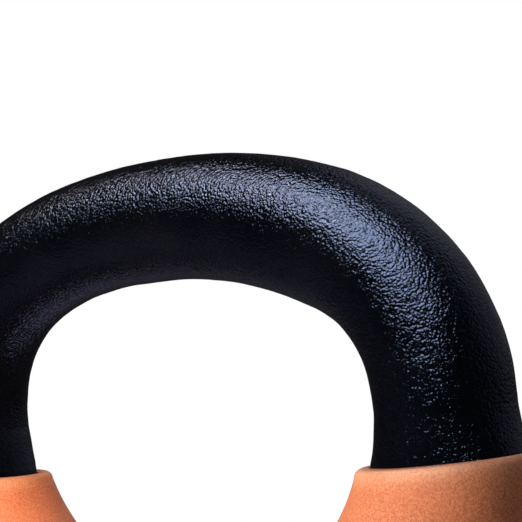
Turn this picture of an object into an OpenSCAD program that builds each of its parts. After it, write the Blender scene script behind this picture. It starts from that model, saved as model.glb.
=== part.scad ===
// Kettlebell with a coated handle and a moulded jacket round the bell.
//
// The handle's two horns stand on the shoulders of an iron core. A spigot under each horn sits in
// a socket in the core and a cross pin holds it there. The jacket is moulded over the core and
// over the feet of the horns. A chamber in the core's base holds the shot that trims the weight.
//
// Frame: origin at the centre of the base, on the floor. X runs along the grip, the front faces
// -Y and Z points up. All sizes are in millimetres.

/* [Handle] */
// Diameter of the grip at the middle of the bar
grip_d = 32; // [30:0.5:34]
// Diameter of the horns at their widest point apart
shoulder_d = 34; // [32:0.5:36]
// Diameter of the horns where they enter the jacket
horn_d = 38.4; // [37:0.2:39.4]
// Distance between the centrelines of the two horns at their widest
horn_span = 166; // [156:1:168]
// Drop from the grip's centreline to the widest point of the horns
shoulder_drop = 53; // [48:1:58]
// Drop from the grip's centreline to the jacket's rims
rim_drop = 65.5; // [62:0.5:70]
// Pull of the curve along the bar: the larger, the flatter the bar
bar_pull = 56; // [45:1:70]
// Pull of the curve up the horns: the larger, the taller the horns
horn_pull = 32; // [22:1:38]

/* [Bell] */
// Diameter of the iron core's ball
core_d = 179; // [176:0.5:181]
// Height of the window between the grip and the top of the bell
window_h = 74; // [70:1:80]
// Diameter of the flat that the jacket ends on
foot_d = 104; // [100:1:108]

/* [Jacket] */
// Thickness of the jacket's wall on the ball
jacket_t = 3.5; // [3:0.5:4.5]
// Width of the rounded rim that stands proud of each horn
rim_w = 3.5; // [3:0.1:4.6]
// Slope of the collars on the window's side, in degrees from the horn
flare_inside = 20; // [16:1:28]
// Slope of the collars on the outer side, in degrees from the horn
flare_outside = 3; // [0:1:8]
// Tilt of the rims, outer side up, in degrees
rim_tilt = 2; // [0:0.5:3]

/* [Base pad] */
// Diameter of the rubber pad
pad_d = 90; // [80:1:94]
// Thickness of the rubber pad
pad_t = 6; // [5:0.5:7]
// How far the pad stands below the jacket
pad_proud = 2; // [1.5:0.5:3]

/* [Ballast chamber] */
// Bore of the chamber in the core
chamber_d = 46; // [44:1:48]
// Depth of the chamber above its plug
chamber_h = 46; // [44:1:56]
// Diameter of one ball of shot
shot_d = 9; // [7:0.5:10]
// Number of layers of shot
shot_layers = 5; // [1:1:5]

/* [Hidden] */
$fn = 96;
black = [0.05, 0.05, 0.06];
orange = [0.80, 0.46, 0.32];
iron = [0.36, 0.36, 0.38];
steel = [0.72, 0.73, 0.75];
rubber = [0.09, 0.09, 0.09];

// Heights, from the floor up
core_r = core_d / 2;
jacket_r = core_r + jacket_t;
ball_z = pad_proud + sqrt(pow(jacket_r, 2) - pow(foot_d / 2, 2));
grip_z = ball_z + jacket_r + window_h + grip_d / 2;
shoulder_z = grip_z - shoulder_drop;
rim_z = grip_z - rim_drop;

// Horns: upright down to the rims, then a hidden bend and a straight lean into the bell
horn_x = horn_span / 2;
bend_r = 75;
foot_lean = 30;
bend_x = horn_x - bend_r;
bend_end = [bend_x + bend_r * cos(foot_lean), 0, rim_z - bend_r * sin(foot_lean)];
foot_z = ball_z + 0.7 * core_r;
foot_x = bend_end.x - (bend_end.z - foot_z) * tan(foot_lean);

// Spigots under the horns, and the pins across them
spigot_d = 24;
spigot_len = 40;
spigot_chamfer = 2;
socket_gap = 0.2;
spot_face_d = 46;
stub_d = horn_d + 1;
pin_d = 8;
pin_len = 78;
pin_chamfer = 1;
pin_z = foot_z - spigot_len / 2;

// Collars: each runs from its rim to a circle on the ball and meets the ball on a tangent
rim_r = horn_d / 2 + rim_w;
rim_round = 1.2;
circle_polar = 46;
circle_spread = 32;
rim_pull = 0.30;
ball_pull = 0.36;

// Base pad's underside
pad_edge = 1;
pad_groove_w = 3;
pad_groove_t = 1.2;
pad_grooves = [14, 24, 34];

// Plug and washer that close the chamber, from the core's base up
plug_flange_d = 62;
plug_flange_t = 4;
plug_body_d = 52;
plug_body_t = 14;
plug_hex_d = 16;
plug_hex_t = 8;
plug_gap = 0.1;
washer_t = 2;
washer_z = pad_t + plug_flange_t;
chamber_z = washer_z + plug_body_t;
shot_gap = 0.15;
shot_pitch = shot_d + shot_gap;
shot_rise = shot_pitch * sqrt(2 / 3);

// Facets of the ball, and of the swept and lofted skins
ball_facets = 256;
ring_sides = 40;
bar_steps = 18;
shank_steps = 3;
bend_steps = 5;
collar_steps = 10;
ball_steps = 12;

function ease(t) = t * t * (3 - 2 * t);
function mix(a, b, t) = a + (b - a) * t;
function unit(v) = v / norm(v);
function mirrored(v) = [-v.x, v.y, v.z];
function bezier(p, t) =
    pow(1 - t, 3) * p[0] + 3 * pow(1 - t, 2) * t * p[1]
    + 3 * (1 - t) * t * t * p[2] + pow(t, 3) * p[3];
function bezier_slope(p, t) =
    pow(1 - t, 2) * (p[1] - p[0]) + 2 * (1 - t) * t * (p[2] - p[1]) + t * t * (p[3] - p[2]);

// A closed skin over rings that all have the same number of points
module skin(rings) {
    n = len(rings[0]);
    m = len(rings);
    sides = [
        for (i = [0:m - 2], j = [0:n - 1])
            let (a = i * n + j, b = i * n + (j + 1) % n)
            each [[a, a + n, b + n], [a, b + n, b]]
    ];
    first_cap = [for (j = [0:n - 1]) j];
    last_cap = [for (j = [n - 1:-1:0]) (m - 1) * n + j];
    polyhedron([for (r = rings) each r], concat([first_cap, last_cap], sides));
}

// Does something on the right side and mirrors it to the left
module both_sides() {
    children();
    mirror([1, 0, 0]) children();
}

// ---- Handle ----

// A station on the handle's centreline: its centre, the direction across the handle in the
// plane of the window, and the radius there
bar_curve = [
    [0, 0, grip_z],
    [bar_pull, 0, grip_z],
    [horn_x, 0, shoulder_z + horn_pull],
    [horn_x, 0, shoulder_z]
];
function across(direction) = cross([0, 1, 0], direction);
function bar_station(t) = [
    bezier(bar_curve, t),
    across(unit(bezier_slope(bar_curve, t))),
    mix(grip_d, shoulder_d, ease(t)) / 2
];
function shank_station(t) = [
    [horn_x, 0, mix(shoulder_z, rim_z, t)],
    [-1, 0, 0],
    mix(shoulder_d, horn_d, ease(t)) / 2
];
function bend_station(lean) = [
    [bend_x + bend_r * cos(lean), 0, rim_z - bend_r * sin(lean)],
    [-cos(lean), 0, sin(lean)],
    horn_d / 2
];
foot_station = [[foot_x, 0, foot_z], [-1 / cos(foot_lean), 0, 0], horn_d / 2];
hidden_half = concat(
    [for (i = [1:bend_steps]) bend_station(foot_lean * i / bend_steps)],
    [foot_station]
);
half_spine = concat(
    [for (i = [0:bar_steps]) bar_station(i / bar_steps)],
    [for (i = [1:shank_steps]) shank_station(i / shank_steps)],
    hidden_half
);
function left_of(s) = [mirrored(s[0]), mirrored(s[1]), s[2]];
spine = concat(
    [for (i = [len(half_spine) - 1:-1:1]) left_of(half_spine[i])],
    half_spine
);
function ring(s) = [
    for (j = [0:ring_sides - 1])
        let (u = 360 * j / ring_sides)
        s[0] + s[2] * (cos(u) * s[1] + sin(u) * [0, 1, 0])
];

module cross_cylinder(d, len) {
    translate([foot_x, len / 2, pin_z])
        rotate([90, 0, 0])
            cylinder(d = d, h = len);
}

// Upright spigot, or its socket when grown by a gap
module spigot(gap) {
    translate([foot_x, 0, foot_z - spigot_len - gap]) {
        cylinder(d1 = spigot_d - 2 * spigot_chamfer, d2 = spigot_d + 2 * gap, h = spigot_chamfer);
        translate([0, 0, spigot_chamfer])
            cylinder(d = spigot_d + 2 * gap, h = spigot_len - spigot_chamfer + 2 * gap);
    }
}

module handle() {
    color(black) {
        skin([for (s = spine) ring(s)]);
        both_sides()
            difference() {
                spigot(0);
                cross_cylinder(pin_d, pin_len);
            }
    }
}

module handle_pin() {
    color(steel)
        translate([foot_x, -pin_len / 2, pin_z])
            rotate([-90, 0, 0]) {
                cylinder(d1 = pin_d - 2 * pin_chamfer, d2 = pin_d, h = pin_chamfer);
                translate([0, 0, pin_chamfer])
                    cylinder(d = pin_d, h = pin_len - 2 * pin_chamfer);
                translate([0, 0, pin_len - pin_chamfer])
                    cylinder(d1 = pin_d, d2 = pin_d - 2 * pin_chamfer, h = pin_chamfer);
            }
}
module handle_pin_right() { handle_pin(); }
module handle_pin_left() { mirror([1, 0, 0]) handle_pin(); }

// ---- Core ----

// Ball with a flat base
module flat_ball(r, base_z) {
    difference() {
        translate([0, 0, ball_z]) sphere(r, $fn = ball_facets);
        translate([-r, -r, base_z - 2 * r]) cube(2 * r);
    }
}

// Leaning stub that carries a horn's foot out of the ball
module shoulder_stub() {
    difference() {
        translate([foot_x, 0, foot_z])
            rotate([0, foot_lean, 0])
                translate([0, 0, -1.5 * horn_d])
                    cylinder(d = stub_d, h = 2.5 * horn_d);
        translate([foot_x - core_r, -core_r, foot_z])
            cube(2 * core_r);
    }
}

module core_body() {
    difference() {
        union() {
            flat_ball(core_r, pad_t);
            both_sides() shoulder_stub();
        }
        both_sides()
            translate([foot_x, 0, foot_z])
                cylinder(d = spot_face_d, h = core_r);
    }
}

module bell_core() {
    color(iron)
        difference() {
            core_body();
            both_sides() {
                spigot(socket_gap);
                cross_cylinder(pin_d, 2 * core_r);
            }
            translate([0, 0, pad_t - washer_t])
                cylinder(d = plug_flange_d + 2 * plug_gap, h = plug_flange_t + 2 * washer_t);
            translate([0, 0, pad_t])
                cylinder(d = plug_body_d + 2 * plug_gap, h = chamber_z - pad_t);
            translate([0, 0, pad_t])
                cylinder(d = chamber_d, h = chamber_z - pad_t + chamber_h);
        }
}

// ---- Ballast ----

// Every other layer sits in the hollows of the one under it
function shot_spots(layer) =
    let (shift = layer % 2 * shot_pitch * [1 / 2, sqrt(3) / 6])
    [
        for (i = [-3:3], j = [-3:3])
            let (spot = shot_pitch * [i + j / 2, j * sqrt(3) / 2] + shift)
            if (norm(spot) < (chamber_d - shot_d) / 2) spot
    ];

module ballast_shot() {
    color(steel)
        for (layer = [0:shot_layers - 1], spot = shot_spots(layer))
            translate([spot.x, spot.y, chamber_z + shot_pitch / 2 + layer * shot_rise])
                sphere(d = shot_d, $fn = 24);
}

module plug_washer() {
    color(rubber)
        translate([0, 0, washer_z])
            difference() {
                cylinder(d = plug_flange_d, h = washer_t);
                translate([0, 0, -washer_t])
                    cylinder(d = plug_body_d + 2 * plug_gap, h = 3 * washer_t);
            }
}

module ballast_plug() {
    color(steel)
        difference() {
            translate([0, 0, pad_t]) {
                cylinder(d = plug_flange_d, h = plug_flange_t);
                cylinder(d = plug_body_d, h = chamber_z - pad_t);
            }
            translate([0, 0, pad_t - plug_hex_t])
                cylinder(d = plug_hex_d, h = 2 * plug_hex_t, $fn = 6);
        }
}

// ---- Jacket ----

// Round the horn, the angle runs from 0 on the outer side to 180 on the window's side
function window_side(u) = (1 - cos(u)) / 2;
function outward(u) = [cos(u), sin(u), 0];
function flare(u) = mix(flare_outside, flare_inside, window_side(u));
function rim_point(u, inset, drop) =
    let (spot = (rim_r - inset) * outward(u))
    [horn_x, 0, rim_z - drop] + spot + [0, 0, spot.x * tan(rim_tilt)];

// A direction from the ball's centre, measured from the axis of the circle where a collar ends
circle_axis = [sin(circle_polar), 0, cos(circle_polar)];
circle_side = [cos(circle_polar), 0, -sin(circle_polar)];
function spoke(u) = cos(u) * circle_side + sin(u) * [0, 1, 0];
function direction(spread, u) = cos(spread) * circle_axis + sin(spread) * spoke(u);
function ball_point(spread, u) = [0, 0, ball_z] + jacket_r * direction(spread, u);
function ball_tangent(spread, u) = cos(spread) * spoke(u) - sin(spread) * circle_axis;

// The spread at which the ball's face reaches the middle plane between the two horns
function middle_spread(u) = atan2(circle_axis.x, -spoke(u).x);

function collar_curve(u) =
    let (
        top = rim_point(u, 0, rim_round),
        low = ball_point(circle_spread, u),
        reach = norm(low - top),
        fall = sin(flare(u)) * outward(u) - [0, 0, cos(flare(u))]
    )
    [
        top,
        top + rim_pull * reach * fall,
        low - ball_pull * reach * ball_tangent(circle_spread, u),
        low
    ];
function round_ring(f) = [for (j = [0:ring_sides - 1]) f(-360 * j / ring_sides)];
right_rings = concat(
    [
        round_ring(function (u) rim_point(u, rim_round, 0)),
        round_ring(function (u) rim_point(u, 0.3 * rim_round, 0.3 * rim_round))
    ],
    [
        for (i = [0:collar_steps])
            round_ring(function (u) bezier(collar_curve(u), i / collar_steps))
    ],
    [
        for (i = [1:ball_steps])
            round_ring(function (u)
                ball_point(mix(circle_spread, middle_spread(u), i / ball_steps), u))
    ]
);
left_rings = [
    for (i = [len(right_rings) - 2:-1:0])
        [for (v = right_rings[i]) mirrored(v)]
];

module jacket() {
    color(orange)
        difference() {
            skin(concat(right_rings, left_rings));
            translate([-jacket_r, -jacket_r, pad_proud - jacket_r])
                cube([2 * jacket_r, 2 * jacket_r, jacket_r]);
            core_body();
            both_sides()
                skin([for (s = concat([shank_station(0), shank_station(1)], hidden_half)) ring(s)]);
            cylinder(d = pad_d, h = pad_t);
        }
}

// ---- Base pad ----

module base_pad() {
    color(rubber)
        difference() {
            union() {
                cylinder(d1 = pad_d - 2 * pad_edge, d2 = pad_d, h = pad_edge);
                translate([0, 0, pad_edge])
                    cylinder(d = pad_d, h = pad_t - pad_edge);
            }
            for (r = pad_grooves)
                translate([0, 0, -pad_groove_t])
                    difference() {
                        cylinder(r = r + pad_groove_w / 2, h = 2 * pad_groove_t);
                        translate([0, 0, -pad_groove_t])
                            cylinder(r = r - pad_groove_w / 2, h = 4 * pad_groove_t);
                    }
        }
}

handle();
jacket();
bell_core();
handle_pin_left();
handle_pin_right();
ballast_shot();
plug_washer();
ballast_plug();
base_pad();
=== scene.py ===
"""Looks of the jacketed kettlebell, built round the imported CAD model.

Everything is in metres in the model's own frame: the origin is at the centre of the base, X runs
along the grip, the front faces -Y and Z points up. The handle and the jacket are built again here
with the curves of the CAD model, closer meshes and the unevenness of a casting; the other pieces
are the CAD model's own, with materials of their own.
"""

import math

import bmesh
import bpy
import numpy as np
from mathutils import Matrix, Vector, noise


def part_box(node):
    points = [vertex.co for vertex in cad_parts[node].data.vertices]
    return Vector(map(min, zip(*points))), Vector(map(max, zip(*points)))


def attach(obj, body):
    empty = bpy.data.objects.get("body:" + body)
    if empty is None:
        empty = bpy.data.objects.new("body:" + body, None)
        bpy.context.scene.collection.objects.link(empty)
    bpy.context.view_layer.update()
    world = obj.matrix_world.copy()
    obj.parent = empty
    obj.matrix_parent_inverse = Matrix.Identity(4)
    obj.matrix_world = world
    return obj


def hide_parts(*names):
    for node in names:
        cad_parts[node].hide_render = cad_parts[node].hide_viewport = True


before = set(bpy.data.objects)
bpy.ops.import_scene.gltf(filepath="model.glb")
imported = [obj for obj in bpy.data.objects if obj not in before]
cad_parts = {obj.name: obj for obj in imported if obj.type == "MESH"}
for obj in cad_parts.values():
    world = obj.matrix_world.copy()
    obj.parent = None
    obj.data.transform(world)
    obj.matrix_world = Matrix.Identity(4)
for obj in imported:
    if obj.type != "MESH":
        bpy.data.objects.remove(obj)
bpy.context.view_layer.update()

MM = 0.001
TAU = 2 * math.pi
QUARTER = TAU / 4

# ---- Sizes shared with the CAD model ----

GRIP_R = 16 * MM
SHOULDER_R = 17 * MM
HORN_R = 19.2 * MM
HORN_X = 83 * MM
SHOULDER_DROP = 53 * MM
RIM_DROP = 65.5 * MM
BAR_PULL = 56 * MM
HORN_PULL = 32 * MM
BEND_R = 75 * MM
FOOT_LEAN = math.radians(30)
# Height of the horns' feet over the ball's middle, as a share of the core's radius
FOOT_HEIGHT = 0.7

CORE_R = 89.5 * MM
JACKET_R = 93 * MM
PAD_PROUD = 2 * MM
PAD_T = 6 * MM
PAD_R = 45 * MM
FLAT_R = 52 * MM
STUB_R = 19.7 * MM
SPOT_FACE_R = 23 * MM

RIM_W = 3.5 * MM
RIM_R = HORN_R + RIM_W
# At the rim the cast horn is a little wider than deep, and its flare starts slowly
HORN_WIDE = 19.7 * MM
HORN_DEEP = 16.6 * MM
FLARE_POWER = 1.35
FLARE_INSIDE = math.radians(20)
FLARE_OUTSIDE = math.radians(3)
RIM_TILT = math.radians(2)
CIRCLE_POLAR = math.radians(46)
CIRCLE_SPREAD = math.radians(32)
RIM_PULL = 0.30
BALL_PULL = 0.36

SPIGOT_R = 12 * MM
SPIGOT_LEN = 40 * MM
SPIGOT_CHAMFER = 2 * MM
PIN_R = 4 * MM

BALL_Z = PAD_PROUD + math.sqrt(JACKET_R**2 - FLAT_R**2)
GRIP_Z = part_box("handle")[1].z - GRIP_R
SHOULDER_Z = GRIP_Z - SHOULDER_DROP
RIM_Z = GRIP_Z - RIM_DROP
BEND_X = HORN_X - BEND_R
BEND_END = (BEND_X + BEND_R * math.cos(FOOT_LEAN), RIM_Z - BEND_R * math.sin(FOOT_LEAN))
FOOT_Z = BALL_Z + FOOT_HEIGHT * CORE_R
FOOT_X = BEND_END[0] - (BEND_END[1] - FOOT_Z) * math.tan(FOOT_LEAN)

# ---- Mesh helpers ----


def ease(t):
    """Smooth step from 0 to 1."""
    return t * t * (3 - 2 * t)


def ramp(x, low, high):
    """0 below low, 1 above high and a smooth step between them."""
    return ease(np.clip((x - low) / (high - low), 0, 1))


def mix(a, b, t):
    return a + (b - a) * t


def unit(v):
    return v / np.linalg.norm(v, axis=-1, keepdims=True)


def loft(name, rings):
    """A closed mesh over rings, an array of ring x point x 3, with a flat cap at both ends."""
    rings = np.asarray(rings, float)
    n_rings, n_round, _ = rings.shape
    index = np.arange(n_rings * n_round).reshape(n_rings, n_round)
    near, far = index[:-1], index[1:]
    quads = np.stack([near, far, np.roll(far, -1, 1), np.roll(near, -1, 1)], -1).reshape(-1, 4)
    faces = quads.tolist() + [index[0].tolist(), index[-1][::-1].tolist()]
    mesh = bpy.data.meshes.new(name)
    mesh.from_pydata(rings.reshape(-1, 3).tolist(), [], faces)
    made = bpy.data.objects.new(name, mesh)
    bpy.context.scene.collection.objects.link(made)
    face_outwards(mesh)
    return made


def circle(sides):
    """Angles of evenly spaced points round a circle."""
    return np.arange(sides) * TAU / sides


def bezier(first, second, third, last, t):
    """Point on a cubic curve at t, from 0 to 1."""
    return (
        (1 - t) ** 3 * first + 3 * (1 - t) ** 2 * t * second
        + 3 * (1 - t) * t * t * third + t**3 * last
    )


def face_outwards(mesh):
    """Turns every face of a closed mesh to the outside."""
    work = bmesh.new()
    work.from_mesh(mesh)
    bmesh.ops.recalc_face_normals(work, faces=work.faces)
    if work.calc_volume(signed=True) < 0:
        bmesh.ops.reverse_faces(work, faces=work.faces)
    work.to_mesh(mesh)
    work.free()


def turned(name, profile, sides):
    """A solid of revolution round Z from (radius, z) pairs that start and end on the axis."""
    turns = circle(sides)
    rings = [[(r * math.cos(a), r * math.sin(a), z) for a in turns] for r, z in profile[1:-1]]
    return loft(name, rings)


def combine(target, tool, operation):
    """Cuts target with tool, joins them or keeps what they share, and removes the tool."""
    step = target.modifiers.new("combine", "BOOLEAN")
    step.operation = operation
    step.solver = "MANIFOLD"
    step.object = tool
    evaluated = target.evaluated_get(bpy.context.evaluated_depsgraph_get())
    result = bpy.data.meshes.new_from_object(evaluated)
    target.modifiers.clear()
    old = target.data
    target.data = result
    bpy.data.meshes.remove(old)
    bpy.data.objects.remove(tool)


def smooth(obj, sharp_angle):
    """Shades a piece smooth, with a hard edge wherever it turns by more than the angle."""
    work = bmesh.new()
    work.from_mesh(obj.data)
    for face in work.faces:
        face.smooth = True
    for edge in work.edges:
        edge.smooth = len(edge.link_faces) == 2 and edge.calc_face_angle(0) < sharp_angle
    work.to_mesh(obj.data)
    work.free()


def unevenness(points, layers, origin):
    """Sum of smooth noises at every point; each layer is (wavelength, height)."""
    start = Vector(origin)
    heights = np.zeros(len(points))
    for wavelength, height in layers:
        heights += height * np.array(
            [noise.noise(Vector(p) / wavelength + start) for p in points]
        )
    return heights


# ---- Handle ----

BAR_STEPS = 132
SHANK_STEPS = 16
LIP_STEPS = 8
BEND_STEPS = 10
HANDLE_SIDES = 132
HOLE_SIDES = 48
# Share of the bend under the rim that takes the close steps of the lip
LIP_BEND = 0.25

# The bar's curve over its right half, as the x and z of its four control points
BAR = np.array([
    [0, GRIP_Z],
    [BAR_PULL, GRIP_Z],
    [HORN_X, SHOULDER_Z + HORN_PULL],
    [HORN_X, SHOULDER_Z],
])


def bar_slope(t):
    """Direction of the bar's curve at t, not scaled."""
    return (
        (1 - t) ** 2 * (BAR[1] - BAR[0]) + 2 * (1 - t) * t * (BAR[2] - BAR[1])
        + t * t * (BAR[3] - BAR[2])
    )


def half_spine():
    """Stations down the right half, from the middle of the bar into the bell.

    Each has a centre, a direction away from the window, a half width, a half depth and a place,
    which is 0 at the middle of the bar, 1 at the shoulder, 2 at the rim and more below it.
    """
    t = np.linspace(0, 1, BAR_STEPS + 1)[:, None]
    centres = [bezier(*BAR, t)]
    slope = unit(bar_slope(t))
    outs = [np.stack([-slope[:, 1], slope[:, 0]], 1)]
    radii = [mix(GRIP_R, SHOULDER_R, ease(t[:, 0]))]
    depths = list(radii)
    places = [t[:, 0]]

    down = np.linspace(0, 1, SHANK_STEPS + 1)[1:]
    centres.append(np.stack([np.full_like(down, HORN_X), mix(SHOULDER_Z, RIM_Z, down)], 1))
    outs.append(np.tile([1.0, 0.0], (len(down), 1)))
    radii.append(mix(SHOULDER_R, HORN_WIDE, down**FLARE_POWER))
    depths.append(mix(SHOULDER_R, HORN_DEEP, down**FLARE_POWER))
    places.append(1 + down)

    bend = np.concatenate([
        np.linspace(0, LIP_BEND, LIP_STEPS + 1)[1:],
        np.linspace(LIP_BEND, 1, BEND_STEPS + 1)[1:],
    ]) * FOOT_LEAN
    centres.append(np.stack([BEND_X + BEND_R * np.cos(bend), RIM_Z - BEND_R * np.sin(bend)], 1))
    outs.append(np.stack([np.cos(bend), -np.sin(bend)], 1))
    radii.append(np.full_like(bend, HORN_WIDE))
    depths.append(np.full_like(bend, HORN_DEEP))
    places.append(2 + bend)
    return [np.concatenate(part) for part in (centres, outs, radii, depths, places)]


# How far the inner side of the bar swells (or is hollowed) at a bend: height, place and width
RIGHT_BEND = (1.78 * MM, 0.35, 0.214)
LEFT_BEND = (-1.28 * MM, 0.56, 0.414)
# Places over which that swelling starts, so that the two halves meet at the middle of the bar
SWELL_START = (0, 0.12)
# Unevenness of the casting: wavelength and height of each layer, where its noise starts, and the
# places over which it fades out above the rim
HANDLE_WAVES = [(34 * MM, 0.30 * MM), (13 * MM, 0.13 * MM), (6 * MM, 0.07 * MM)]
HANDLE_LUMPS = [(3.2 * MM, 0.045 * MM), (1.9 * MM, 0.03 * MM)]
HANDLE_NOISE_START = (3.1, 7.7, 1.9)
HANDLE_FADE = (1.75, 2.0)
HANDLE_SHARP = math.radians(40)


def handle_rings(side):
    """Rings of one half of the bar and its horn; side is 1 for the right and -1 for the left."""
    centres, outs, radii, depths, places = half_spine()
    turns = circle(HANDLE_SIDES)
    away = np.cos(turns)[None, :]
    height, middle, width = RIGHT_BEND if side > 0 else LEFT_BEND
    swell = height * np.exp(-(((places - middle) / width) ** 2)) * ramp(places, *SWELL_START)
    out = radii[:, None] * away - swell[:, None] * np.clip(-away, 0, 1)
    x = centres[:, :1] + outs[:, :1] * out
    z = centres[:, 1:] + outs[:, 1:] * out
    y = depths[:, None] * np.sin(turns)[None, :]
    rings = np.stack([x * side, y, z], -1)
    normals = np.stack(
        [outs[:, :1] * away * side, np.tile(np.sin(turns), (len(radii), 1)), outs[:, 1:] * away], -1
    )
    points = rings.reshape(-1, 3)
    bumps = unevenness(points, HANDLE_WAVES + HANDLE_LUMPS, HANDLE_NOISE_START)
    fade = 1 - ramp(places, *HANDLE_FADE)
    rings += normals * (bumps.reshape(x.shape) * fade[:, None])[..., None]
    return rings


def spigot_rings(side):
    """The horn's level foot and the spigot under it, down to its chamfered end."""
    turns = circle(HANDLE_SIDES)
    end = SPIGOT_R - SPIGOT_CHAMFER
    steps = [
        (HORN_WIDE / math.cos(FOOT_LEAN), HORN_DEEP, FOOT_Z),
        (SPIGOT_R, SPIGOT_R, FOOT_Z),
        (SPIGOT_R, SPIGOT_R, FOOT_Z - SPIGOT_LEN + SPIGOT_CHAMFER),
        (end, end, FOOT_Z - SPIGOT_LEN),
    ]
    return [
        [(side * (FOOT_X + wide * math.cos(a)), deep * math.sin(a), z) for a in turns]
        for wide, deep, z in steps
    ]


def cross_hole(side):
    """Tool for the pin's hole through a spigot, along Y."""
    turns = circle(HOLE_SIDES)
    z = FOOT_Z - SPIGOT_LEN / 2
    return loft("hole", [
        [(side * FOOT_X + PIN_R * math.cos(a), y, z + PIN_R * math.sin(a)) for a in turns]
        for y in (-2 * SPIGOT_R, 2 * SPIGOT_R)
    ])


right = np.concatenate([handle_rings(1), spigot_rings(1)])
left = np.concatenate([handle_rings(-1), spigot_rings(-1)])
handle = loft("coated_handle", np.concatenate([left[:0:-1], right]))
for side in (1, -1):
    combine(handle, cross_hole(side), "DIFFERENCE")
smooth(handle, HANDLE_SHARP)

# ---- Jacket ----

JACKET_SIDES = 224
CORE_SIDES = 256
CORE_ARC_POINTS = 129
STUB_SIDES = 96
BASE_SIDES = 288
BASE_ARC_POINTS = 8
PAD_SIDES = 192
COLLAR_STEPS = 44
BALL_STEPS = 34
LIP_ROUND = 2.0 * MM
LIP_ROUND_STEPS = 7
BORE_ROUND = 0.5 * MM
BORE_ROUND_STEPS = 4
# The stub's two ends before it is cut, and the least height of the ball's points over its flat
STUB_ENDS = (-3 * HORN_R, 2 * HORN_R)
CORE_CLEAR = 0.1 * MM
# Clearance round the horn and the pad, and how deep it runs below the rim
GAP = 0.35 * MM
GAP_DEPTH = 3.2 * MM
BASE_ROUND = 5 * MM
# The base's tool leaves the ball this much more flatly than the ball itself, and ends far past it
BASE_DRAFT = math.radians(1.5)
LIMIT_REACH = 4 * JACKET_R
LIMIT_TOP = 6 * JACKET_R
# Unevenness of the moulded rims: how far each is raised, and its slope from front to back
RIM_RISE = {1: 0.45 * MM, -1: 0.0}
RIM_ROLL = {1: math.radians(1.3), -1: math.radians(-1.0)}
# Unevenness of the moulding, as on the handle; it fades out down to the foot and is less on the lip
JACKET_WAVES = [(45 * MM, 0.25 * MM), (16 * MM, 0.10 * MM), (7 * MM, 0.035 * MM)]
JACKET_NOISE_START = (8.4, 2.2, 5.6)
JACKET_FADE = (10 * MM, 30 * MM)
LIP_SHARE = 0.3
JACKET_SHARP = math.radians(35)

# Every ring of the jacket has a point at each of these turns, which are taken round the horn's
# upright axis at the rim and round the collar's leaning axis on the ball
turn = circle(JACKET_SIDES)
outward = np.stack([np.cos(turn), np.sin(turn), 0 * turn], 1)
axis = np.array([math.sin(CIRCLE_POLAR), 0, math.cos(CIRCLE_POLAR)])
side_way = np.array([math.cos(CIRCLE_POLAR), 0, -math.sin(CIRCLE_POLAR)])
spoke = np.cos(turn)[:, None] * side_way + np.sin(turn)[:, None] * np.array([0, 1, 0])


def rim_ring(side, radius, drop):
    """Ring round the horn at a radius and a depth below the rim's plane."""
    spokes = np.broadcast_to(radius, turn.shape)[:, None] * outward
    ring = np.array([HORN_X, 0, RIM_Z + RIM_RISE[side] - drop]) + spokes
    ring[:, 2] += spokes[:, 0] * math.tan(RIM_TILT) + spokes[:, 1] * math.tan(RIM_ROLL[side])
    return ring


def ball_ring(spread):
    """Ring on the ball, at an angle from the right collar's axis."""
    spread = np.broadcast_to(spread, turn.shape)[:, None]
    return np.array([0, 0, BALL_Z]) + JACKET_R * (np.cos(spread) * axis + np.sin(spread) * spoke)


def collar_rings(side):
    """From the rounded edge of the lip down the collar to its circle on the ball."""
    top = rim_ring(side, RIM_R, LIP_ROUND)
    low = ball_ring(CIRCLE_SPREAD)
    reach = np.linalg.norm(low - top, axis=1)[:, None]
    flare = mix(FLARE_OUTSIDE, FLARE_INSIDE, (1 - np.cos(turn)) / 2)[:, None]
    fall = np.sin(flare) * outward - np.cos(flare) * np.array([0, 0, 1])
    tangent = np.cos(CIRCLE_SPREAD) * spoke - np.sin(CIRCLE_SPREAD) * axis
    first = top + RIM_PULL * reach * fall
    second = low - BALL_PULL * reach * tangent
    return [bezier(top, first, second, low, t) for t in np.linspace(0, 1, COLLAR_STEPS + 1)]


def lip_rings(side):
    """From inside the bore, up and over the lip, to the start of the collar's outer side."""
    bore = GAP + 1 / np.hypot(np.cos(turn) / HORN_WIDE, np.sin(turn) / HORN_DEEP)
    rings = [rim_ring(side, bore, GAP_DEPTH), rim_ring(side, bore, 2 * BORE_ROUND)]
    for i in range(BORE_ROUND_STEPS + 1):
        a = i / BORE_ROUND_STEPS * QUARTER
        radius = bore + BORE_ROUND * (1 - math.cos(a))
        rings.append(rim_ring(side, radius, BORE_ROUND * (1 - math.sin(a))))
    for i in range(LIP_ROUND_STEPS):
        a = i / LIP_ROUND_STEPS * QUARTER
        radius = RIM_R - LIP_ROUND * (1 - math.sin(a))
        rings.append(rim_ring(side, radius, LIP_ROUND * (1 - math.cos(a))))
    return rings


def ball_rings():
    """From the collar's circle round the ball to the middle plane between the horns."""
    middle = np.arctan2(axis[0], -spoke[:, 0])
    return [ball_ring(mix(CIRCLE_SPREAD, middle, i / BALL_STEPS)) for i in range(1, BALL_STEPS + 1)]


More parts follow.
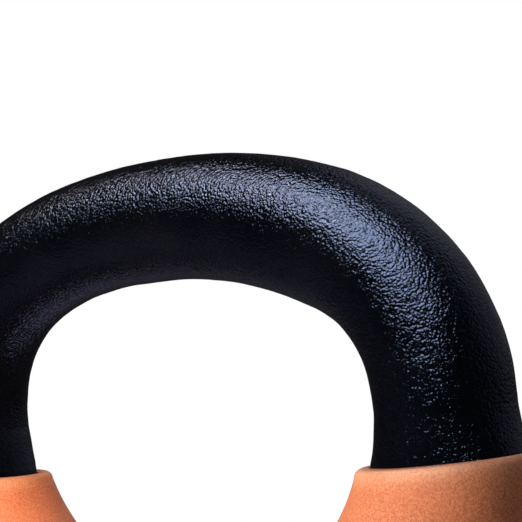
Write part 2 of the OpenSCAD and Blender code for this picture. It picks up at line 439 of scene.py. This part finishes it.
def outer_skin():
    """Everything that is seen of the jacket, from one bore round the ball to the other bore."""
    right_half, left_half = (
        np.array(lip_rings(side) + collar_rings(side) + ball_rings()) for side in (1, -1)
    )
    rings = np.concatenate([right_half, (left_half * [-1, 1, 1])[-2::-1]])
    points = rings.reshape(-1, 3)
    along = unit(np.gradient(rings, axis=0).reshape(-1, 3))
    round_way = unit((np.roll(rings, -1, 1) - np.roll(rings, 1, 1)).reshape(-1, 3))
    normals = np.cross(round_way, along)
    from_axis = np.hypot(np.abs(points[:, 0]) - HORN_X, points[:, 1])
    on_lip = (points[:, 2] > RIM_Z - 2 * LIP_ROUND) & (from_axis < RIM_R - 0.5 * LIP_ROUND)
    heights = unevenness(points, JACKET_WAVES, JACKET_NOISE_START)
    heights *= ramp(points[:, 2], *JACKET_FADE) * np.where(on_lip, LIP_SHARE, 1)
    return loft("bell_jacket", (points + normals * heights[:, None]).reshape(rings.shape))


def horn_tool(side):
    """The horn below the lip's gap, which the jacket is moulded round."""
    centres, outs, _, _, places = half_spine()
    keep = places > 2
    turns = circle(HANDLE_SIDES)
    spots = np.concatenate([[[HORN_X, RIM_Z]], centres[keep]])
    ways = np.concatenate([[[1, 0]], outs[keep]])
    rings = [
        [(side * (c[0] + w[0] * HORN_WIDE * math.cos(a)), HORN_DEEP * math.sin(a),
          c[1] + w[1] * HORN_WIDE * math.cos(a)) for a in turns]
        for c, w in zip(spots, ways)
    ]
    rings.append(spigot_rings(side)[0])
    return loft("horn_tool", rings)


def leaning_cylinder(side, radius, low, high):
    """A cylinder along the leaning foot of a horn, between two distances from the foot's middle."""
    lean = Matrix.Rotation(side * FOOT_LEAN, 4, "Y")
    place = Matrix.Translation((side * FOOT_X, 0, FOOT_Z)) @ lean
    return loft("stub", [
        [
            place @ Vector((radius * math.cos(a), radius * math.sin(a), z))
            for a in circle(STUB_SIDES)
        ]
        for z in (low, high)
    ])


def block(low, high):
    """A box between two corners."""
    (x0, y0, z0), (x1, y1, z1) = low, high
    return loft("block", [
        [(x0, y0, z), (x1, y0, z), (x1, y1, z), (x0, y1, z)] for z in (z0, z1)
    ])


def core_tool():
    """The core's outer faces: a ball, its flat base and the two stubs under the horns."""
    steps = np.linspace(0, math.pi, CORE_ARC_POINTS)
    arc = [(CORE_R * math.sin(a), BALL_Z - CORE_R * math.cos(a)) for a in steps]
    flat_edge = (math.sqrt(CORE_R**2 - (BALL_Z - PAD_T) ** 2), PAD_T)
    profile = [(0, PAD_T), flat_edge] + [p for p in arc if p[1] > PAD_T + CORE_CLEAR]
    core = turned("core_tool", profile, CORE_SIDES)
    far = 2 * CORE_R
    for side in (1, -1):
        stub = leaning_cylinder(side, STUB_R, *STUB_ENDS)
        combine(stub, block((-far, -far, FOOT_Z), (far, far, FOOT_Z + far)), "DIFFERENCE")
        combine(core, stub, "UNION")
        seat = loft("seat", [
            [
                (side * FOOT_X + SPOT_FACE_R * math.cos(a), SPOT_FACE_R * math.sin(a), z)
                for a in circle(STUB_SIDES)
            ]
            for z in (FOOT_Z, FOOT_Z + CORE_R)
        ])
        combine(core, seat, "DIFFERENCE")
    return core


def base_limit():
    """The space the ball may fill above its flat, with the rounded edge of the base."""
    flat = PAD_PROUD + BASE_ROUND
    inside = JACKET_R - BASE_ROUND
    centre = (math.sqrt(inside**2 - (BALL_Z - flat) ** 2), flat)
    last = math.atan2(-(BALL_Z - flat), centre[0])
    bend = np.linspace(-QUARTER, last, BASE_ARC_POINTS)
    profile = [(0, PAD_PROUD)]
    profile += [
        (centre[0] + BASE_ROUND * math.cos(a), centre[1] + BASE_ROUND * math.sin(a)) for a in bend
    ]
    leave = last + QUARTER - BASE_DRAFT
    away, up = LIMIT_REACH * math.cos(leave), LIMIT_REACH * math.sin(leave)
    profile.append((profile[-1][0] + away, profile[-1][1] + up))
    profile.append((profile[-1][0], LIMIT_TOP))
    profile.append((0, LIMIT_TOP))
    return turned("base_limit", profile, BASE_SIDES)


def pad_tool():
    """The recess for the base pad."""
    reach = PAD_R + GAP
    return turned("pad_tool", [(0, 0), (reach, 0), (reach, PAD_T), (0, PAD_T)], PAD_SIDES)


jacket = outer_skin()
combine(jacket, base_limit(), "INTERSECT")
combine(jacket, core_tool(), "DIFFERENCE")
for side in (1, -1):
    combine(jacket, horn_tool(side), "DIFFERENCE")
combine(jacket, pad_tool(), "DIFFERENCE")
smooth(jacket, JACKET_SHARP)

# ---- Materials ----

WHITE = (1, 1, 1, 1)
# Most of a noise's values are between these two
NOISE_SPREAD = (0.3, 0.7)

# Coat: the size of the wrinkle's cells, lumps and fine grain and of the sway that bends them, how
# far that sway reaches, the height of each in the bump, then its roughness and its two blacks
CELL = 0.72 * MM
CELL_SMOOTHNESS = 0.25
LUMP = 2.4 * MM
COAT_FINE = 0.38 * MM
SWAY = 1.6 * MM
SWAY_REACH = 0.8 * MM
CELL_HEIGHT = 0.20
LUMP_HEIGHT = 0.12
COAT_FINE_HEIGHT = 0.08
COAT_ROUGHNESS = (0.11, 0.18)
COAT_CLOUD = 18 * MM
CLOUD_EDGES = (0.35, 0.65)
COAT_TINT = (0.46, 0.60, 1.0, 1.0)
COAT_BLACKS = ((0.0006, 0.0007, 0.0012, 1), (0.0016, 0.0017, 0.0024, 1))

# Jacket: its specks and their contrast, its large patches and its fine grain, the height of
# specks and grain in the bump, then the colours of the moulding, of its patches and of the lip's
# painted highlight and wear
SPECK = 0.50 * MM
SPECK_EDGES = (0.40, 0.60)
PATCH = 14 * MM
JACKET_FINE = 0.32 * MM
SPECK_HEIGHT = 0.10
JACKET_FINE_HEIGHT = 0.03
JACKET_ROUGHNESS = (0.52, 0.66)
JACKET_COLOURS = ((0.385, 0.090, 0.035, 1), (0.70, 0.266, 0.120, 1))
PATCH_COLOUR = (0.60, 0.147, 0.059, 1)
PATCH_SHARE = 0.35
# The lip's colours: a painted highlight with wear on its rounded top edge
HIGHLIGHT_AND_WEAR_COLOURS = ((0.62, 0.25, 0.13, 1), (0.81, 0.40, 0.23, 1))
HIGHLIGHT_AND_WEAR_SHARE = 0.75
# The patches break up the lip's painted highlight and wear: the edges of their contrast and the
# share of highlight and wear at each
HIGHLIGHT_AND_WEAR_EDGES = (0.35, 0.6)
HIGHLIGHT_AND_WEAR_SHARES = (0.35, 1.0)

# The lip's painted highlight and wear, kept on the mesh: paler on the lip's rounded top edge, full
# above the first depth and gone below the second, only this far outside the rim
LIP_HIGHLIGHT_AND_WEAR = "rim_highlight_and_wear"
HIGHLIGHT_AND_WEAR_DEPTHS = (0.5 * LIP_ROUND, 2.4 * LIP_ROUND)
HIGHLIGHT_AND_WEAR_REACH = 3 * MM

# Metals: dark and bright colour, roughness, size of the grain and its depth
STEEL = ((0.42, 0.43, 0.45, 1), (0.58, 0.59, 0.61, 1), 0.32, 1.2 * MM, 0.02 * MM)
IRON = ((0.10, 0.10, 0.105, 1), (0.17, 0.17, 0.175, 1), 0.55, 1.6 * MM, 0.12 * MM)
METAL_ROUGHNESS_SPREAD = 0.08

# Pad: its grain and patches, the depth of the grain, its roughness and its two blacks
PAD_FINE = 0.5 * MM
PAD_PATCH = 9 * MM
PAD_DEPTH = 0.06 * MM
PAD_ROUGHNESS = (0.68, 0.84)
PAD_BLACKS = ((0.012, 0.012, 0.012, 1), (0.024, 0.024, 0.025, 1))


def add(tree, kind, settings=None, **inputs):
    """A shader node; inputs are socket values or sockets to link, by the socket's name."""
    made = tree.nodes.new("ShaderNode" + kind)
    for key, value in (settings or {}).items():
        setattr(made, key, value)
    for key, value in inputs.items():
        join(tree, made.inputs[key.replace("_", " ")], value)
    return made


def join(tree, socket, value):
    """Links a socket to the value, or sets it when the value is a plain one."""
    if isinstance(value, bpy.types.NodeSocket):
        tree.links.new(value, socket)
    else:
        socket.default_value = value


def math_node(tree, operation, a, b=0.0):
    made = tree.nodes.new("ShaderNodeMath")
    made.operation = operation
    join(tree, made.inputs[0], a)
    join(tree, made.inputs[1], b)
    return made.outputs[0]


def blend_colour(tree, factor, a, b):
    made = tree.nodes.new("ShaderNodeMix")
    made.data_type = "RGBA"
    join(tree, made.inputs[0], factor)
    join(tree, made.inputs[6], a)
    join(tree, made.inputs[7], b)
    return made.outputs[2]


def remap(tree, value, low, high, to_low=0.0, to_high=1.0):
    made = add(
        tree, "MapRange", Value=value,
        From_Min=low, From_Max=high, To_Min=to_low, To_Max=to_high,
    )
    return made.outputs[0]


def scaled(tree, value, share):
    return math_node(tree, "MULTIPLY", value, share)


def grain(tree, place, wavelength, detail=2.0, roughness=0.5):
    """Noise between 0 and 1 with features of about a wavelength."""
    made = add(
        tree, "TexNoise", Vector=place, Scale=1 / wavelength, Detail=detail, Roughness=roughness
    )
    return made.outputs[0]


def start_material(name, roughness=0.5, **values):
    """A material, its tree, its shader with these input values, and the place on the object."""
    material = bpy.data.materials.new(name)
    material.use_nodes = True
    tree = material.node_tree
    shader = tree.nodes["Principled BSDF"]
    shader.inputs["Roughness"].default_value = roughness
    for key, value in values.items():
        shader.inputs[key.replace("_", " ")].default_value = value
    place = add(tree, "TexCoord").outputs["Object"]
    return material, tree, shader, place


def bump(tree, shader, height, distance, strength=1.0):
    made = add(tree, "Bump", Height=height, Distance=distance, Strength=strength)
    tree.links.new(made.outputs[0], shader.inputs["Normal"])


def coat_material():
    """Thick black enamel that dried in a hammered wrinkle."""
    material, tree, shader, place = start_material(
        "coat_black", Specular_IOR_Level=0.5, Specular_Tint=COAT_TINT
    )
    sway = add(tree, "TexNoise", Vector=place, Scale=1 / SWAY, Detail=1.0).outputs[1]
    shift = add(tree, "VectorMath", {"operation": "MULTIPLY_ADD"})
    join(tree, shift.inputs[0], sway)
    join(tree, shift.inputs[1], (SWAY_REACH,) * 3)
    join(tree, shift.inputs[2], place)
    bent = shift.outputs[0]
    cells = add(
        tree, "TexVoronoi", {"feature": "SMOOTH_F1"},
        Vector=bent, Scale=1 / CELL, Smoothness=CELL_SMOOTHNESS,
    ).outputs[0]
    domes = scaled(tree, math_node(tree, "SUBTRACT", 1.0, cells), CELL_HEIGHT)
    lumps = scaled(tree, grain(tree, place, LUMP, 1.0), LUMP_HEIGHT)
    fine = grain(tree, bent, COAT_FINE, 2.0)
    height = math_node(tree, "ADD", domes, lumps)
    height = math_node(tree, "ADD", height, scaled(tree, fine, COAT_FINE_HEIGHT))
    bump(tree, shader, height, 1 * MM)
    join(tree, shader.inputs["Roughness"], remap(tree, fine, *NOISE_SPREAD, *COAT_ROUGHNESS))
    cloud = remap(tree, grain(tree, place, COAT_CLOUD, 3.0), *CLOUD_EDGES)
    join(tree, shader.inputs["Base Color"], blend_colour(tree, cloud, *COAT_BLACKS))
    return material


def jacket_material():
    """Matte moulded elastomer, finely grained, with a painted highlight and wear on the lip."""
    material, tree, shader, place = start_material(
        "jacket_orange", roughness=0.6, Specular_IOR_Level=0.25
    )
    lip_highlight_and_wear = add(tree, "Attribute", {"attribute_name": LIP_HIGHLIGHT_AND_WEAR}).outputs["Fac"]
    speck = grain(tree, place, SPECK, 4.0, 0.9)
    patch = grain(tree, place, PATCH, 3.0)
    fine = grain(tree, place, JACKET_FINE, 2.0)
    base = blend_colour(tree, remap(tree, speck, *SPECK_EDGES), *JACKET_COLOURS)
    patches = remap(tree, patch, *NOISE_SPREAD, 0.0, PATCH_SHARE)
    base = blend_colour(tree, patches, base, PATCH_COLOUR)
    # Painted highlight and wear: the lip's rounded top edge is made paler
    highlit_and_worn = math_node(tree, "MULTIPLY", lip_highlight_and_wear, remap(tree, patch, *HIGHLIGHT_AND_WEAR_EDGES, *HIGHLIGHT_AND_WEAR_SHARES))
    highlit_and_worn_colour = blend_colour(tree, remap(tree, speck, *SPECK_EDGES), *HIGHLIGHT_AND_WEAR_COLOURS)
    base = blend_colour(tree, scaled(tree, highlit_and_worn, HIGHLIGHT_AND_WEAR_SHARE), base, highlit_and_worn_colour)
    join(tree, shader.inputs["Base Color"], base)
    join(tree, shader.inputs["Roughness"], remap(tree, speck, *NOISE_SPREAD, *JACKET_ROUGHNESS))
    height = math_node(
        tree, "ADD", scaled(tree, speck, SPECK_HEIGHT), scaled(tree, fine, JACKET_FINE_HEIGHT)
    )
    bump(tree, shader, height, 1 * MM)
    return material


def metal_material(name, dark, bright, roughness, wavelength, depth):
    """Plain metal with a fine grain in its colour, roughness and relief."""
    material, tree, shader, place = start_material(name, Metallic=1.0)
    rough = grain(tree, place, wavelength, 4.0, 0.6)
    colour = blend_colour(tree, remap(tree, rough, *NOISE_SPREAD), dark, bright)
    join(tree, shader.inputs["Base Color"], colour)
    ends = roughness - METAL_ROUGHNESS_SPREAD, roughness + METAL_ROUGHNESS_SPREAD
    join(tree, shader.inputs["Roughness"], remap(tree, rough, *NOISE_SPREAD, *ends))
    bump(tree, shader, rough, depth)
    return material


def pad_material():
    """Matte black rubber."""
    material, tree, shader, place = start_material("pad_rubber", Specular_IOR_Level=0.3)
    fine = grain(tree, place, PAD_FINE, 3.0)
    patches = remap(tree, grain(tree, place, PAD_PATCH, 3.0), *NOISE_SPREAD)
    join(tree, shader.inputs["Base Color"], blend_colour(tree, patches, *PAD_BLACKS))
    join(tree, shader.inputs["Roughness"], remap(tree, fine, *NOISE_SPREAD, *PAD_ROUGHNESS))
    bump(tree, shader, fine, PAD_DEPTH)
    return material


def dress(obj, material):
    """Puts the material in every slot of the object, and makes a slot if it has none."""
    if not obj.data.materials:
        obj.data.materials.append(None)
    for slot in obj.material_slots:
        slot.material = material


def mark_lip_highlight_and_wear(obj):
    """Marks the rounded top edge of the lip, painted paler as a highlight and as wear."""
    co = np.empty(len(obj.data.vertices) * 3, np.float32)
    obj.data.vertices.foreach_get("co", co)
    co = co.reshape(-1, 3).astype(float)
    from_axis = np.hypot(np.abs(co[:, 0]) - HORN_X, co[:, 1])
    rim_height = RIM_Z + (np.abs(co[:, 0]) - HORN_X) * math.tan(RIM_TILT)
    below = rim_height - co[:, 2]
    # Painted highlight and wear: full on the lip's top, fading down its side
    lip_highlight_and_wear = 1 - ramp(below, *HIGHLIGHT_AND_WEAR_DEPTHS)
    lip_highlight_and_wear *= ramp(from_axis, HORN_DEEP + GAP, RIM_R - LIP_ROUND)
    lip_highlight_and_wear *= from_axis < RIM_R + HIGHLIGHT_AND_WEAR_REACH
    layer = obj.data.attributes.new(LIP_HIGHLIGHT_AND_WEAR, "FLOAT", "POINT")
    layer.data.foreach_set("value", lip_highlight_and_wear.astype(np.float32))


mark_lip_highlight_and_wear(jacket)
dress(handle, coat_material())
dress(jacket, jacket_material())
steel = metal_material("steel_turned", *STEEL)
iron = metal_material("iron_cast", *IRON)
rubber = pad_material()
for name, material in {
    "bell_core": iron,
    "handle_pin_left": steel,
    "handle_pin_right": steel,
    "ballast_shot": steel,
    "ballast_plug": steel,
    "plug_washer": rubber,
    "base_pad": rubber,
}.items():
    dress(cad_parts[name], material)

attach(handle, "root")
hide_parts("handle")
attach(jacket, "root")
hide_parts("jacket")
jacket.visible_glossy = False

# ---- Camera ----

# The photograph's view, as fitted to the outline of the handle and the rims
YAW = math.radians(39.22)
PITCH = math.radians(-2.96)
ROLL = math.radians(-4.58)
CAMERA_REACH = 459 * MM
TARGET = Vector((31 * MM, 0, GRIP_Z - 13.8 * MM))
LENS = 125.0


def from_front(azimuth, elevation):
    """Unit vector towards an azimuth (0 is the front, 90 is +X) and an elevation, in degrees."""
    a, e = math.radians(azimuth), math.radians(elevation)
    return Vector((math.sin(a) * math.cos(e), -math.cos(a) * math.cos(e), math.sin(e)))


def photo_camera():
    """The camera at the photograph's viewing angle, made the scene's own."""
    back = from_front(math.degrees(YAW), math.degrees(PITCH))
    level = Vector((math.cos(YAW), math.sin(YAW), 0))
    raised = back.cross(level)
    across = math.cos(ROLL) * level + math.sin(ROLL) * raised
    up = -math.sin(ROLL) * level + math.cos(ROLL) * raised
    data = bpy.data.cameras.new("camera")
    data.lens = LENS
    data.clip_start = 0.01
    data.clip_end = 100
    made = bpy.data.objects.new("camera", data)
    facing = Matrix((across, up, back)).transposed().to_4x4()
    made.matrix_world = Matrix.Translation(TARGET + back * CAMERA_REACH) @ facing
    bpy.context.scene.collection.objects.link(made)
    bpy.context.scene.camera = made


photo_camera()

# ---- Light ----


def softbox(
    name, azimuth, elevation, reach, size, radiance, colour,
    centre=TARGET, glossy=True, diffuse=True,
):
    """An area light that faces the centre; its power is worked out from its radiance."""
    data = bpy.data.lights.new(name, "AREA")
    data.shape = "RECTANGLE"
    data.size, data.size_y = size
    data.energy = radiance * math.pi * size[0] * size[1]
    data.color = colour
    made = bpy.data.objects.new(name, data)
    way = from_front(azimuth, elevation)
    made.location = centre + way * reach
    made.rotation_euler = way.to_track_quat("Z", "Y").to_euler()
    made.visible_glossy = glossy
    made.visible_diffuse = diffuse
    made.visible_camera = False
    bpy.context.scene.collection.objects.link(made)


# Key and glint show in gloss only; the other lamps light the matte surfaces only. fill_left and
# front_near are small and near, for the collars that the photograph shows
softbox("key", -1, 55.5, 0.95, (0.98, 0.72), 10.8, (0.97, 0.98, 1.0), diffuse=False)
softbox("glint", -60, 52, 0.95, (0.16, 0.16), 30, (1.0, 0.84, 0.74), diffuse=False)
softbox("top_soft", 0, 60, 1.2, (1.2, 1.0), 1.0, (1.0, 0.98, 0.96), glossy=False)
softbox(
    "front_near", -1, 8, 0.24, (0.07, 0.07), 57, (1.0, 0.99, 0.97),
    centre=Vector((0, 0, RIM_Z)), glossy=False,
)
softbox(
    "fill_left", 60, 8, 0.12, (0.05, 0.05), 9.2, (1.0, 0.64, 0.30),
    centre=Vector((-HORN_X, 0, RIM_Z)), glossy=False,
)
softbox("fill_back", 215, 30, 1.6, (1.6, 1.2), 3.2, (1.0, 0.98, 0.96), glossy=False)
softbox("fill_right", 165, 20, 1.6, (1.2, 1.2), 0.8, (1.0, 0.98, 0.96), glossy=False)

# ---- Floor and surroundings ----

# Radiance of the dark room and of the dim panels in it. Each panel starts with whether its azimuth
# is measured round from the front (True) or both ways from straight behind (False); then come the
# middle, half width and soft edge of its azimuth, and those of its elevation, in degrees
ROOM = (0.022, 0.022, 0.024, 1)
PANELS = [
    (True, 148, 34, 6, 28, 25, 6, (0.14, 0.14, 0.165, 1)),
    (False, 0, 22, 12, 30, 25, 6, (0.11, 0.11, 0.13, 1)),
    (False, 0, 20, 20, 50, 17, 12, (0.27, 0.27, 0.34, 1)),
    (True, -80, 45, 20, -40, 22, 10, (0.105, 0.100, 0.135, 1)),
    (True, -20, 25, 10, -48, 13, 8, (0.17, 0.16, 0.19, 1)),
    (True, 160, 40, 15, -48, 12, 10, (0.08, 0.07, 0.08, 1)),
    (True, -137, 34, 8, -59, 6, 5, (1.00, 0.92, 1.35, 1)),
]

FLOOR_R = 1.9
FLOOR_SIDES = 96
# Distances between which the floor fades to white
FADE = (0.55, 1.3)
FLOOR_SEEN = (0.80, 0.80, 0.79, 1)
FLOOR_UNSEEN = (0.25, 0.25, 0.25, 1)
FLOOR_GLOW = 0.5


def blend_shaders(tree, factor, a, b):
    made = add(tree, "MixShader")
    for socket, value in zip(made.inputs, (factor, a, b)):
        join(tree, socket, value)
    return made.outputs[0]


def window(tree, value, centre, half, soft):
    """1 within half of the centre and 0 beyond half plus soft, all in degrees."""
    off = math_node(tree, "ABSOLUTE", math_node(tree, "SUBTRACT", value, math.radians(centre)))
    made = add(
        tree, "MapRange", {"interpolation_type": "SMOOTHSTEP"}, Value=off,
        From_Min=math.radians(half), From_Max=math.radians(half + soft), To_Min=1.0, To_Max=0.0,
    )
    return made.outputs[0]


def studio_world():
    """White to the camera; to everything else a dark room with a few dim panels in it."""
    world = bpy.data.worlds.new("studio")
    world.use_nodes = True
    tree = world.node_tree
    tree.nodes.clear()
    parts = add(tree, "SeparateXYZ", Vector=add(tree, "TexCoord").outputs["Generated"]).outputs
    azimuth = math_node(tree, "ARCTAN2", parts["X"], math_node(tree, "MULTIPLY", parts["Y"], -1.0))
    elevation = math_node(tree, "ARCSINE", parts["Z"])
    behind = math_node(tree, "SUBTRACT", math.pi, math_node(tree, "ABSOLUTE", azimuth))
    total = ROOM
    for around, middle, half, soft, height, tall, edge, colour in PANELS:
        here = math_node(
            tree, "MULTIPLY", window(tree, azimuth if around else behind, middle, half, soft),
            window(tree, elevation, height, tall, edge),
        )
        total = blend_colour(tree, here, total, colour)
    room = add(tree, "Background", Color=total, Strength=1.0)
    white = add(tree, "Background", Color=WHITE, Strength=1.0)
    seen = add(tree, "LightPath").outputs["Is Camera Ray"]
    both = blend_shaders(tree, seen, room.outputs[0], white.outputs[0])
    add(tree, "OutputWorld", Surface=both)
    bpy.context.scene.world = world


def studio_floor():
    """A pale matte disc whose far edge fades to the white of the surroundings."""
    work = bmesh.new()
    ring = [
        work.verts.new((FLOOR_R * math.cos(a), FLOOR_R * math.sin(a), 0))
        for a in circle(FLOOR_SIDES)
    ]
    work.faces.new(ring)
    mesh = bpy.data.meshes.new("floor")
    work.to_mesh(mesh)
    work.free()
    made = bpy.data.objects.new("floor", mesh)
    bpy.context.scene.collection.objects.link(made)
    material, tree, shader, place = start_material(
        "floor_pale", roughness=0.9, Specular_IOR_Level=0.1, Emission_Color=WHITE
    )
    seen = add(tree, "LightPath").outputs["Is Camera Ray"]
    join(tree, shader.inputs["Base Color"], blend_colour(tree, seen, FLOOR_UNSEEN, FLOOR_SEEN))
    join(tree, shader.inputs["Emission Strength"], scaled(tree, seen, FLOOR_GLOW))
    glow = add(tree, "Emission", Color=WHITE, Strength=1.0)
    far = add(tree, "VectorMath", {"operation": "LENGTH"})
    tree.links.new(place, far.inputs[0])
    fade = remap(tree, far.outputs["Value"], *FADE)
    both = blend_shaders(tree, fade, shader.outputs[0], glow.outputs[0])
    tree.links.new(both, tree.nodes["Material Output"].inputs[0])
    mesh.materials.append(material)
    made.visible_glossy = False


studio_world()
studio_floor()
bpy.context.scene.view_settings.view_transform = "Standard"
